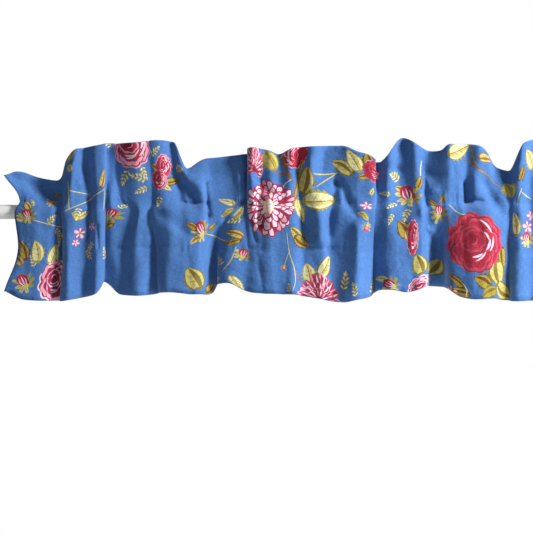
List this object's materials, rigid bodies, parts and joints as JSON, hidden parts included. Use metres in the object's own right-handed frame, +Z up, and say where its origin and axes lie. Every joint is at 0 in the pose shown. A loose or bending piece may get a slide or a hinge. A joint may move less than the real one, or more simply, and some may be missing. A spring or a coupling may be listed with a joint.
{
  "type": "gathered window valance on a curtain rod",
  "caption": "Gathered cotton window valance with a ruffled heading and a rod pocket, hanging on a plain white curtain rod; printed with roses and leaves on blue.",
  "frame": {"origin": "centre of the rod's left end face, as seen from the room", "axes": "+X along the rod to its right end, +Y towards the wall, +Z up"},
  "size_m": [1.23, 0.0835, 0.3314],
  "materials": {
    "printed_cotton": "matt plain-weave cotton, printed with roses, leaves and sprigs on blue",
    "white_rod": "smooth white paint"
  },
  "bodies": {
    "root": {"valance": "printed_cotton", "rod": "white_rod"}
  },
  "joints": []
}
